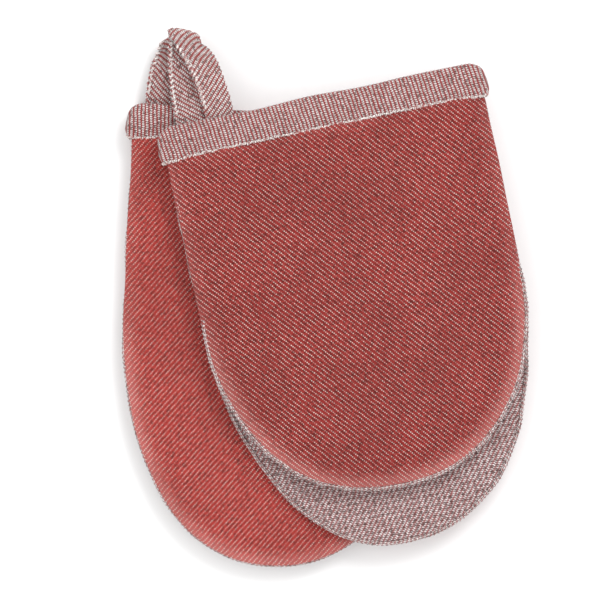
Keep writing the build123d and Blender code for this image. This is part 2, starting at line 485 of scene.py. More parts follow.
def closed_mesh(name: str, rings: Array, cloth: Array) -> bpy.types.Object:
    """Skin a stack of closed rings whose first and last ring shrink to a point.

    Args:
        name: name of the piece.
        rings: points as (ring, point, xyz), metres.
        cloth: cloth coordinates in mm as (ring, point + 1, 2).

    Returns:
        The piece, smooth, with outward faces and its cloth map.
    """
    count, width = rings.shape[:2]
    body = rings[1:-1].reshape(-1, 3)
    points = np.concatenate([body, rings[:1].mean(1), rings[-1:].mean(1)])
    first, last = len(body), len(body) + 1
    quads = ring_faces(count - 2, width).reshape(-1, 4)
    wide = width + 1
    i, j = np.meshgrid(np.arange(count - 3), np.arange(width), indexing="ij")
    here, there = (i + 1) * wide + j, (i + 2) * wide + j
    quad_map = np.stack([here, here + 1, there + 1, there], -1)
    j = np.arange(width)
    k = (j + 1) % width
    base = (count - 3) * width
    start = np.stack([np.full(width, first), k, j], -1)
    end = np.stack([np.full(width, last), base + j, base + k], -1)
    start_map = np.stack([j, wide + j + 1, wide + j], -1)
    before_last = (count - 2) * wide + j
    end_map = np.stack([(count - 1) * wide + j, before_last, before_last + 1], -1)
    mesh = bpy.data.meshes.new(name)
    mesh.from_pydata(points.tolist(), [], quads.tolist() + start.tolist() + end.tolist())
    index = np.concatenate([quad_map.reshape(-1), start_map.reshape(-1), end_map.reshape(-1)])
    layer = mesh.uv_layers.new(name="cloth")
    layer.data.foreach_set("uv", cloth.reshape(-1, 2)[index].astype(np.float32).ravel())
    return finished(name, mesh)


def finished(name: str, mesh: bpy.types.Mesh) -> bpy.types.Object:
    """Turn a mesh's faces outwards, smooth it and link its object."""
    work = bmesh.new()
    work.from_mesh(mesh)
    bmesh.ops.recalc_face_normals(work, faces=work.faces)
    work.to_mesh(mesh)
    work.free()
    mesh.shade_smooth()
    return placed(name, mesh)


def placed(name: str, data: bpy.types.ID) -> bpy.types.Object:
    """Put an object with that data in the scene."""
    made = bpy.data.objects.new(name, data)
    bpy.context.scene.collection.objects.link(made)
    return made


def tube(
    name: str, line: Array, widths: Array, heights: Array, side: Array, up: Array
) -> bpy.types.Object:
    """Carry an oval section along a line and close both ends.

    Args:
        name: name of the piece.
        line: centre points in metres.
        widths: half widths in metres, one for each point or as (point, corner).
        heights: half heights in the same way.
        side: unit vectors across the line.
        up: unit vectors of the section's height.

    Returns:
        The piece; its cloth map runs along the line and round the section.
    """
    corners = 14
    turn = even_turn(corners)
    shape = (len(line), corners)
    widths, heights = (np.broadcast_to(np.atleast_2d(w.T).T, shape) for w in (widths, heights))
    rings = line[:, None] + side[:, None] * (widths * np.cos(turn))[..., None]
    rings = rings + up[:, None] * (heights * np.sin(turn))[..., None]
    first, last = (np.repeat(tip[:, None], corners, 1) for tip in (line[:1], line[-1:]))
    rings = np.concatenate([first, rings, last])
    steps = np.linalg.norm(np.diff(line, axis=0), axis=1)
    run = np.concatenate([[0.0, 0.0], np.cumsum(steps), [steps.sum()]]) / MM
    girth = float(np.median(widths)) * TAU / MM
    v = np.linspace(0.0, girth, corners + 1)
    cloth = np.stack(np.broadcast_arrays(run[:, None], v[None]), -1)
    return closed_mesh(name, rings, cloth)


@dataclass(frozen=True)
class MittFrame:
    """Where one mitt lies: its mouth centre, directions and body names."""

    name: str
    origin: Array
    right: Array
    out: Array
    up: Array

    @classmethod
    def from_record(cls, name: str, up: float) -> "MittFrame":
        """Read the mitt's place from its pocket hinge, which lies across the finger end.

        Args:
            name: front or rear.
            up: 1 if the mitt lies face up, -1 if face down.

        Returns:
            The frame, its origin at the middle of the mouth on the long panel's outer face.
        """
        hinge = next(j for j in frame["joints"] if j["name"] == f"{name}_pocket_open")
        right = np.array(hinge["axis"], float)
        right /= np.linalg.norm(right)
        out = np.cross([0.0, 0.0, 1.0], right)
        middle = (LONG_INNER + POCKET / 2) * MM
        up_vector = np.array([0.0, 0.0, up])
        origin = np.array(hinge["pos_m"], float) + out * HINGE_DEPTH * MM - up_vector * middle
        return cls(name, origin, right, out, up_vector)

    def world(self, a: Array, y: Array, z: Array) -> Array:
        """Points in metres from millimetres across, out of the mouth and up."""
        a, y, z = (np.asarray(v, float)[..., None] * MM for v in np.broadcast_arrays(a, y, z))
        return self.origin + a * self.right + y * self.out + z * self.up

    def body(self, part: str) -> str:
        """Name of one of the mitt's bodies."""
        return f"{self.name}_{part}"


@dataclass(frozen=True)
class PanelShape:
    """Plan of one panel: straight sides and a half-oval finger end."""

    straight: float
    end: float
    half_width: float = 97.6
    top: float = 16.0
    corner: float = 6.0
    power: float = 2.2
    flare: float = 0.0
    waver: float = 0.35
    seed: int = 1

    def outline(self, count: int) -> Array:
        """Closed outline as (count, 2), from the left mouth corner over the right side.

        Straight lines, two rounded mouth corners and a slightly squared oval, spaced
        evenly; the sides flare a little towards the mouth, and the edge wavers slowly.
        """
        w, c = self.half_width, self.corner
        quarter = np.linspace(0.0, math.pi / 2, 12)
        left = np.stack([-w + c - c * np.cos(quarter), -self.top - c + c * np.sin(quarter)], 1)
        right = np.stack([w - c + c * np.sin(quarter), -self.top - c + c * np.cos(quarter)], 1)
        half = np.linspace(0.0, -math.pi, 400)
        c, s = np.cos(half), np.abs(np.sin(half))
        across = w * np.sign(c) * np.abs(c) ** (2.0 / self.power)
        oval = np.stack([across, -self.straight - self.end * s ** (2.0 / self.power)], 1)
        line = np.concatenate([left, right, oval, left[:1]])
        line[:, 0] += np.sign(line[:, 0]) * self.flare * rise(line[:, 1], -90.0, -15.0)
        run = distance_along(*line.T)
        even = resampled(np.arange(count) / count * run[-1], run, line)
        return even + self.normals(even) * self.wavering(even)[:, None]

    def wavering(self, points: Array) -> Array:
        """Slow unevenness of the sewn edge, mm."""
        return self.waver * smooth_noise(points[:, 0], points[:, 1], self.seed, 70.0)

    @staticmethod
    def normals(points: Array) -> Array:
        """Outward unit normals of a closed clockwise line."""
        along = unit(np.roll(points, -1, 0) - np.roll(points, 1, 0))
        return np.stack([-along[:, 1], along[:, 0]], 1)

    def finger_line(self, count: int, start: float, offset: Array) -> tuple[Array, Array]:
        """Open line round the finger end, from the left side to the right.

        Args:
            count: number of points.
            start: distance from the mouth edge where both ends lie.
            offset: distance outside the panel, one for each point.

        Returns:
            The points and their outward normals.
        """
        dense = self.outline(2400)
        normal = self.normals(dense)
        dense, normal = dense[::-1], normal[::-1]
        split = int(np.argmin(np.hypot(dense[:, 0], dense[:, 1] + self.top)))
        dense, normal = np.roll(dense, -split, 0), np.roll(normal, -split, 0)
        keep = dense[:, 1] < -start
        dense, normal = dense[keep], normal[keep]
        run = distance_along(*dense.T)
        at = np.linspace(0.0, run[-1], count)
        points, out = resampled(at, run, dense), resampled(at, run, normal)
        return points + out * np.broadcast_to(offset, (count,))[:, None], out


@dataclass(frozen=True)
class HalfPad:
    """One face of a quilted panel, from its sewn middle to its crowned surface."""

    shape: PanelShape
    side: Side
    middle: float
    depth: float
    crown: float = 1.6
    edge: float = 8.0
    bulge: float = 2.1
    puff: float = 0.0
    swell: float = 1.0  # strength of the wadding's slow swells
    swell_depth: float = 0.34
    lump_depth: float = 0.16
    pucker_depth: float = 0.32
    pucker_reach: float = 5.0  # how far inside the seam the puckers fade
    sheen_rim_reach: float = 6.2  # how far inside the seam the painted sheen rim fades
    back_gap: float = 0.02  # keeps the flat back off the sewn middle
    seed: int = 7
    around: int = 300
    rings: int = 64

    def surface(self, at: MittFrame, name: str) -> bpy.types.Object:
        """Closed pad: a crowned face that rolls over its rim, and a flat back.

        Rings are the outline shrunk towards its centre. Height over the sewn middle is a
        rounded rim, a low crown, slow swells and short puckers that the seam pulls.
        """
        rim = self.shape.outline(self.around)
        centre = np.array([0.0, -(self.shape.top + self.shape.straight + self.shape.end) / 2])
        normal = self.shape.normals(rim)
        reach = ((rim - centre) * normal).sum(1)
        share = (np.arange(self.rings + 1) / self.rings)[::-1] ** 2.0
        inward = share[:, None] * reach[None]
        plan = centre + (rim - centre)[None] * (1.0 - share)[:, None, None]
        lift = 1.0 - (1.0 - np.clip(inward / self.edge, 0.0, 1.0)) ** self.bulge
        lift = np.maximum(lift, 0.0) ** (1.0 / self.bulge)
        x, y = plan[..., 0], plan[..., 1]
        height = lift * (self.depth + self.crown * (1.0 - (1.0 - share[:, None]) ** 2.4))
        slow = self.swell_depth * smooth_noise(x * 0.6, y, self.seed, 46.0)
        slow = slow + self.lump_depth * smooth_noise(x, y, self.seed + 1, 21.0)
        height = height + lift * self.swell * slow
        if self.puff > 0.0:
            height = height + lift * self.puff * Puff().spread(self, at)
        run = even_turn(self.around)
        pull = np.exp(-inward / self.pucker_reach) * rise(inward, 0.0, 2.0)
        pucker = sum(np.sin(run * n + 1.7 * n) for n in (61, 83, 97)) / 3.0
        height = height + self.pucker_depth * pull * pucker[None]
        back = plan[::-1]
        flat = np.full(inward.shape, self.back_gap)
        front_points = at.world(x, y, self.middle + self.side.value * height)
        back_points = at.world(back[..., 0], back[..., 1], self.middle + self.side.value * flat)
        step = np.linalg.norm(np.diff(np.dstack([plan, height]), axis=0), axis=2)
        arc = np.concatenate([np.zeros((1, self.around)), np.cumsum(step, 0)])
        cloth = centre + unit(rim - centre)[None] * arc[..., None]
        cloth = np.concatenate([cloth, cloth[:, :1]], 1)
        back_cloth = np.concatenate([back, back[:, :1]], 1)
        rings = np.concatenate([front_points, back_points[1:]])
        piece = closed_mesh(name, rings, np.concatenate([cloth, back_cloth[1:]]))
        self._mark_sheen_rim(piece, inward, y)
        return piece

    def _mark_sheen_rim(self, piece: bpy.types.Object, inward: Array, y: Array) -> None:
        """Write how near the seam each point lies, most of all round the finger end: the mask of the
        painted sheen rim.
        """
        depth, out = (np.concatenate([v, v[::-1][1:]])[1:-1].ravel() for v in (inward, y))
        share = np.exp(-((depth / self.sheen_rim_reach) ** 2)) * (0.25 + 0.75 * rise(-out, 100.0, 170.0))
        layer = piece.data.attributes.new("rim", "FLOAT", "POINT")
        layer.data.foreach_set("value", np.append(share, [0.0, 0.0]).astype(np.float32))


@dataclass(frozen=True)
class Puff:
    """Cloth simulation that swells a coarse copy of a pad with its wadding's pressure."""

    pressure: float = 4.0
    frames: int = 20
    limit: float = 12.0  # most that the cloth may move before it is scaled, mm
    around: int = 96
    rings: int = 18

    def simulate(self, pad: bpy.types.Object, held: range) -> Array:
        """Run the pressure on a pad whose held points stay where they are.

        Args:
            pad: the coarse pad.
            held: indices of the pinned points.

        Returns:
            The moved points, metres.
        """
        pad.vertex_groups.new(name="held").add(list(held), 1.0, "REPLACE")
        cloth = pad.modifiers.new("puff", "CLOTH")
        cloth.settings.quality = 4
        cloth.settings.use_pressure = True
        cloth.settings.uniform_pressure_force = self.pressure
        cloth.settings.vertex_group_mass = "held"
        cloth.settings.effector_weights.gravity = 0.0
        cloth.point_cache.frame_start = 1
        cloth.point_cache.frame_end = self.frames
        for number in range(1, self.frames + 1):
            bpy.context.scene.frame_set(number)
        moved = pad.evaluated_get(bpy.context.evaluated_depsgraph_get()).data
        points = np.empty(len(moved.vertices) * 3)
        moved.vertices.foreach_get("co", points)
        return points.reshape(-1, 3)

    def spread(self, pad: HalfPad, at: MittFrame) -> Array:
        """How far the simulation lifts each point of a pad's face.

        The lift is capped at the limit and scaled to 1, then drawn out from the coarse
        grid to the pad's own and smoothed round the pad.

        Args:
            pad: the pad to swell.
            at: the mitt's frame.
        """
        plain = replace(pad, around=self.around, rings=self.rings, puff=0.0)
        coarse = plain.surface(at, "coarse_pad")
        rest = np.empty(len(coarse.data.vertices) * 3)
        coarse.data.vertices.foreach_get("co", rest)
        face = self.rings * self.around
        back = range(face - self.around, len(coarse.data.vertices) - 2)
        moved = self.simulate(coarse, back)
        lift = ((moved - rest.reshape(-1, 3)) @ at.up)[:face].reshape(self.rings, self.around)
        mesh = coarse.data
        bpy.data.objects.remove(coarse)
        bpy.data.meshes.remove(mesh)
        bpy.context.scene.frame_set(1)
        lift = np.clip(lift * pad.side.value / MM, 0.0, self.limit)
        LOG.info("  pressure lifts %s by up to %.1f mm", at.name, lift.max())
        lift = lift / max(lift.max(), 1e-6)
        lift = np.concatenate([lift[:1].mean(1, keepdims=True).repeat(self.around, 1), lift])
        row = np.linspace(0.0, self.rings, pad.rings + 1)
        column = np.arange(pad.around) / pad.around * self.around
        above, left = np.minimum(row.astype(int), self.rings - 1), column.astype(int)
        part, share = (row - above)[:, None], (column - left)[None]
        tall = lift[above] * (1.0 - part) + lift[above + 1] * part
        wide = tall[:, left] * (1.0 - share) + tall[:, (left + 1) % self.around] * share
        for _ in range(8):
            wide = (np.roll(wide, 1, 1) + 2.0 * wide + np.roll(wide, -1, 1)) / 4.0
        return wide


@dataclass(frozen=True)
class Binding:
    """Padded strip folded over a panel's mouth edge."""

    low: float
    high: float
    half_length: float = 100.6
    height: float = 19.6
    corner: float = 11.0
    rib: float = 0.16
    square: float = 2.9
    seed: int = 3
    slant: float = 0.10
    section: tuple[float, float] = (9.8, 3.6)  # half sizes that space the section's points
    end_round: float = 2.6

    def _flare(self, a: Array) -> Array:
        """How much lower the strip's lower edge lies towards both ends."""
        return 1.6 * rise(np.abs(a), *FLARE_ROWS)

    def surface(self, at: MittFrame, name: str) -> bpy.types.Object:
        """Carry a squared oval along the mouth.

        The upper edge rounds off towards both ends, the lower edge flares a little, and
        fine ribs stand out along the twill lines.
        """
        count, corners = 880, 48
        t = np.linspace(-1.0, 1.0, count)
        a = self.half_length * t
        past = np.clip((np.abs(a) - (self.half_length - self.corner)) / self.corner, 0.0, 1.0)
        level = np.zeros(count)
        top = -self.corner * (1.0 - np.sqrt(1.0 - past**2))
        top = top + 0.35 * smooth_noise(a, level, self.seed, 60.0)
        bottom = -self.height - self._flare(a) + 0.25 * smooth_noise(a, level, self.seed + 1, 30.0)
        close = rise(np.abs(a), self.half_length - self.end_round, self.half_length)
        close = np.sqrt(np.clip(1.0 - close**2, 0.0, 1.0))
        middle_y, half_y = (top + bottom) / 2, (top - bottom) / 2 * (0.25 + 0.75 * close)
        half_z = (self.high - self.low) / 2 * (0.08 + 0.92 * close)
        half_z = half_z * (1.0 + 0.05 * smooth_noise(a, level, self.seed + 2, 34.0))
        section_y, section_z = even_section(*self.section, self.square, corners)
        y = middle_y[:, None] + half_y[:, None] * section_y
        z = (self.low + self.high) / 2 + half_z[:, None] * section_z
        across = np.broadcast_to(a[:, None], y.shape)
        line = across + self.slant * y
        rib = self.rib * np.cos(TAU * (line / WALE - 0.25)) * close[:, None]
        rings = at.world(across, y + rib * section_y, z + rib * section_z)
        wide, high = self.section
        girth = distance_along(np.append(section_y, 1.0) * wide, np.append(section_z, 0.0) * high)
        line = np.concatenate([line, line[:, :1]], 1)
        cloth = np.stack(np.broadcast_arrays(line, girth[None]), -1)
        return closed_mesh(name, rings, cloth)

    def fringe(self, at: MittFrame, name: str, outer: float) -> bpy.types.Object:
        """Overlocked threads along the strip's lower edge, each tilted a little.

        Args:
            at: the mitt's frame.
            name: name of the piece.
            outer: 1 if the panel's outer face looks along z, -1 if against it.

        Returns:
            The piece.
        """
        draw = np.random.default_rng(self.seed + 100)
        a = np.arange(-self.half_length + 1.5, self.half_length - 1.0, 1.18)
        count = len(a)
        y = -self.height + 0.35 - self._flare(a) + draw.normal(0.0, 0.22, count)
        face = self.high if outer > 0 else self.low
        level = np.full(count, face - outer * 1.75) + draw.normal(0.0, 0.12, count)
        tilt = draw.normal(0.25, 0.5, count)
        ways = np.sin(tilt)[:, None] * at.right + np.cos(tilt)[:, None] * at.out
        lift = at.up * outer * 0.9 - at.out * 0.43
        ups = np.broadcast_to(lift / np.linalg.norm(lift), (count, 3))
        ways = unit(ways - (ways * ups).sum(1)[:, None] * ups)
        return StitchRow(2.3, 0.5, 0.3).surface(name, at.world(a, y, level), ways, ups)


@dataclass(frozen=True)
class EdgeRoll:
    """Twisted roll of lining that closes a panel's rounded edge."""

    shape: PanelShape
    level: float
    radius: float = 1.35
    offset: float = 0.5
    hidden: float = 2.4  # how far further in the roll lies along the straight sides
    shown_from: float = 105.0
    start: float = 20.0
    seed: int = 11

    def surface(self, at: MittFrame, name: str) -> bpy.types.Object:
        """Carry a lobed section round the finger end; the lobes turn as they go."""
        count, corners = 2200, 14
        level = np.zeros(count)
        waver = 0.22 * smooth_noise(np.linspace(0.0, 700.0, count), level, self.seed, 26.0)
        line, out = self.shape.finger_line(count, self.start, level)
        shown = rise(-line[:, 1], self.shown_from, self.shown_from + 45.0)
        line = line + out * (self.offset + waver - self.hidden * (1.0 - shown))[:, None]
        run = distance_along(*line.T)
        turn = even_turn(corners)
        lobe = 1.0 + 0.17 * np.cos(2.0 * turn[None] - TAU * run[:, None] / 2.9)
        lobe = lobe + 0.10 * np.cos(TAU * run[:, None] / 1.45 + turn[None])
        ends = np.minimum(rise(run, -0.2, 3.0), rise(-run, -run[-1] - 0.2, -run[-1] + 3.0))
        radius = self.radius * MM * lobe * (0.2 + 0.8 * ends[:, None])
        side = unit(at.world(out[:, 0], out[:, 1], level) - at.origin)
        up = np.broadcast_to(at.up, side.shape)
        points = at.world(line[:, 0], line[:, 1], np.full(count, self.level))
        return tube(name, points, radius, radius, side, up)


@dataclass(frozen=True)
class SideSeam:
    """Wall of cloth that joins both panels round the finger end."""

    shape: PanelShape
    low: float = LONG_INNER - 1.2
    high: float = SHORT_INNER + 1.2

    def surface(self, at: MittFrame, name: str) -> bpy.types.Object:
        """Carry a thin upright oval round the finger end, drawn in at half height."""
        count, corners = 700, 22
        line, out = self.shape.finger_line(count, 17.0, np.full(count, -2.6))
        turn = even_turn(corners)
        thick = 1.5 * np.cos(turn)
        upright = (self.low + self.high) / 2 + (self.high - self.low) / 2 * np.sin(turn)
        tuck = -1.3 * np.cos(np.arcsin(np.sin(turn))) ** 2
        run = np.linspace(0.0, 620.0, count)
        waver = 0.5 * smooth_noise(run, 0 * run, 5, 18.0)
        offset = thick[None] + tuck[None] + waver[:, None] * np.abs(np.cos(turn))[None]
        x = line[:, :1] + out[:, :1] * offset
        y = line[:, 1:] + out[:, 1:] * offset
        rings = with_tips(at.world(x, y, np.broadcast_to(upright, x.shape)))
        girth = np.linspace(0.0, 24.0, corners + 1)
        along = np.concatenate([run[:1], run, run[-1:]])
        cloth = np.stack(np.broadcast_arrays(along[:, None], girth[None]), -1)
        return closed_mesh(name, rings, cloth)


@dataclass(frozen=True)
class StitchRow:
    """Many short stitches as one piece."""

    length: float
    thick: float = 0.42
    rise: float = 0.25

    def surface(self, name: str, centres: Array, along: Array, up: Array) -> bpy.types.Object:
        """Put one bowed, round-ended stitch at every centre.

        Args:
            name: name of the piece.
            centres: middle of each stitch, metres.
            along: unit direction of each stitch.
            up: unit direction away from the cloth at each stitch.

        Returns:
            The piece.
        """
        rings, corners = 9, 6
        t = np.linspace(-1.0, 1.0, rings)
        radius = self.thick * MM * np.sqrt(np.clip(1.0 - t**4, 0.0, 1.0))
        turn = even_turn(corners)
        side = np.cross(along, up)
        lift = self.rise * MM * (1.0 - t**2) - 0.1 * MM
        spine = centres[:, None] + along[:, None] * (t * self.length / 2 * MM)[None, :, None]
        spine = spine + up[:, None] * lift[None, :, None]
        ring = side[:, None, None] * np.cos(turn)[None, None, :, None]
        ring = ring + up[:, None, None] * np.sin(turn)[None, None, :, None]
        points = spine[:, :, None] + ring * radius[None, :, None, None]
        base = np.arange(len(centres))[:, None, None] * (rings * corners)
        faces = (ring_faces(rings, corners).reshape(1, -1, 4) + base).reshape(-1, 4)
        mesh = bpy.data.meshes.new(name)
        mesh.from_pydata(points.reshape(-1, 3).tolist(), [], faces.tolist())
        mesh.uv_layers.new(name="cloth")
        work = bmesh.new()
        work.from_mesh(mesh)
        bmesh.ops.remove_doubles(work, verts=work.verts, dist=1e-7)
        work.to_mesh(mesh)
        work.free()
        return finished(name, mesh)


@dataclass(frozen=True)
class Leg:
    """One leg of a hanging loop as a curve from the pocket to the fold."""

    root: float
    lean: float
    bow: float
    fold: float
    reach: float
    start_level: float
    level: float

    def spine(self, count: int) -> tuple[Array, Array, Array]:
        """Centre line: across, out and height, mm, from the root to the fold."""
        t = np.linspace(0.0, 1.0, count)
        far = self.reach
        inner = [(self.lean, 0.34 * far), (self.bow, 0.68 * far)]
        a, y = bezier([(self.root, -5.0), *inner, (self.fold, far)], t).T
        lift = (self.level - self.start_level) * rise(y, -2.0, 0.4 * far)
        return a, y, self.start_level + lift


@dataclass(frozen=True)
class Loop:
    """Folded tape that hangs a mitt, with its sewn tabs and stitches."""

    first: Leg
    second: Leg
    skew: float
    half_width: float = 8.8
    half_thick: float = 0.95
    radius: float = 3.7
    twill: float = -40.0
    hem: tuple[float, float, float] = (0.30, 7.4, 1.0)  # height, place and width of the hem
    groove: tuple[float, float, float] = (0.28, 5.6, 0.7)

    @staticmethod
    def _ridge(across: Array, ridge: tuple[float, float, float]) -> Array:
        """Height of a smooth ridge along both edges of the tape."""
        height, place, width = ridge
        return height * np.exp(-(((np.abs(across) - place) / width) ** 2))

    def _line(self) -> tuple[Array, Array, Array, Array]:
        """Centre line of the tape over both legs and the fold between them.

        Returns:
            Across, out, height, and how near the fold each point is, 0 to 1.
        """
        count = 150
        a1, y1, z1 = self.first.spine(count)
        a2, y2, z2 = self.second.spine(count)
        half = np.linspace(0.0, math.pi, 26)[1:-1]
        middle = (z1[-1] + z2[-1]) / 2
        sign = 1.0 if z1[-1] < z2[-1] else -1.0
        a = np.concatenate([a1, np.full(len(half), self.first.fold), a2[::-1]])
        y = np.concatenate([y1, self.first.reach + self.radius * np.sin(half), y2[::-1]])
        z = np.concatenate([z1, middle - sign * self.radius * np.cos(half), z2[::-1]])
        t = np.linspace(0.0, 1.0, count)
        return a, y, z, np.concatenate([t, np.ones(len(half)), t[::-1]])

    def surface(self, at: MittFrame, name: str) -> bpy.types.Object:
        """Carry the flat tape along its line, square to it, but askew at the fold."""
        a, y, z, near = self._line()
        run = distance_along(a, y, z)
        at_even = np.linspace(0.0, run[-1], 620)
        a, y, z, near = (np.interp(at_even, run, v) for v in (a, y, z, near))
        run = at_even
        da, dy, dz = np.gradient(a), np.gradient(y), np.gradient(z)
        turned = np.unwrap(np.arctan2(dy, da) * 2.0) / 2.0 - math.pi / 2
        square = np.where(near > 0.985, 0.0, turned)
        square = np.mod(square + math.pi / 2, math.pi) - math.pi / 2
        mix = rise(near, 0.4, 1.0)
        angle = square * (1.0 - mix) - math.radians(self.skew) * mix
        side = np.stack([np.cos(angle), np.sin(angle), 0.0 * angle], 1)
        up = unit(np.cross(side, unit(np.stack([da, dy, dz], 1))))
        corners = 72
        flat, thick = even_section(self.half_width, self.half_thick, 3.0, corners)
        edge = 1.0 + 0.035 * np.sin(TAU * run / 3.1) + 0.015 * np.sin(TAU * run / 5.3 + 1.0)
        width = self.half_width * (1.0 + 0.10 * mix) * edge
        across = width[:, None] * flat[None]
        twill = math.radians(self.twill)
        line = (run[:, None] * math.cos(twill) - across * math.sin(twill)) / WALE
        rib = 0.17 * np.cos(TAU * (line + 0.25)) * np.abs(thick)[None]
        hem = self._ridge(across, self.hem) - self._ridge(across, self.groove)
        lift = (self.half_thick + hem) * thick[None] + rib * np.sign(thick)[None]
        points = np.stack([a, y, z], 1)[:, None] + side[:, None] * across[..., None]
        points = points + up[:, None] * lift[..., None]
        points[..., 1] -= 1.9 * np.abs(flat)[None] ** 3 * rise(near, 0.86, 1.0)[:, None]
        rings = with_tips(at.world(points[..., 0], points[..., 1], points[..., 2]))
        across = np.concatenate([across[:1], across, across[-1:]])
        across = np.concatenate([across, across[:, :1]], 1)
        along = np.concatenate([run[:1], run, run[-1:]])
        cloth = np.stack(np.broadcast_arrays(across, along[:, None]), -1)
        return closed_mesh(name, rings, cloth)

    def stitch_places(self, at: MittFrame) -> tuple[Array, Array, Array]:
        """Slanted stitches along the left edge of each leg, on both faces."""
        places, ways, ups = [], [], []
        for leg in (self.first, self.second):
            a, y, z = leg.spine(400)
            run = distance_along(a, y)
            spots = np.arange(12.5, run[-1] - 2.0, 3.1)
            columns = (a, y, z, np.gradient(a), np.gradient(y))
            a, y, z, da, dy = (np.interp(spots, run, column) for column in columns)
            size = np.hypot(da, dy)
            da, dy = da / size, dy / size
            tilt = np.random.default_rng(len(spots)).normal(0.72, 0.28, len(spots))
            c, s = np.cos(tilt), np.sin(tilt)
            slant = np.stack([da * c + dy * s, dy * c - da * s], 1)
            way = unit(at.world(slant[:, 0], slant[:, 1], 0.0 * spots) - at.origin)
            for face in (-1.0, 1.0):
                height = z + face * (self.half_thick + 0.25)
                places.append(at.world(a - dy * 7.0, y + da * 7.0, height))
                ways.append(way)
                ups.append(np.broadcast_to(at.up * face, way.shape))
        return np.concatenate(places), np.concatenate(ways), np.concatenate(ups)


@dataclass(frozen=True)
class Finishes:
    """Materials shared by the pieces."""

    front_twill: bpy.types.Material
    rear_twill: bpy.types.Material
    lining: bpy.types.Material
    binding: bpy.types.Material
    tape: bpy.types.Material
    roll: bpy.types.Material
    thread: bpy.types.Material

    @classmethod
    def build(cls) -> "Finishes":
        """Make every material once."""
        rear = RedTwill(
            "red_twill_rear", 51.5, red=(0.385, 0.033, 0.027, 1.0), deep=(0.115, 0.014, 0.011, 1.0),
            bright=(0.46, 0.052, 0.043, 1.0),
        )
        lining = LightTwill(
            "light_lining", 51.5, 0.55, 0.72, white=(0.94, 0.87, 0.87, 1.0), grey=(0.52, 0.40, 0.39, 1.0)
        )
        binding = LightTwill(
            "binding_twill", 90.0, white=(0.84, 0.755, 0.745, 1.0), grey=(0.39, 0.295, 0.28, 1.0)
        )
        tape = LightTwill("loop_tape_twill", -40.0, lines=0.9, grey=(0.48, 0.37, 0.35, 1.0))
        return cls(
            front_twill=RedTwill("red_twill_front", -49.5).material(),
            rear_twill=rear.material(),
            lining=lining.material(),
            binding=binding.material(),
            tape=tape.material(),
            roll=LightTwill("edge_roll", 72.0, lines=0.55).material(),
            thread=Thread().material(),
        )


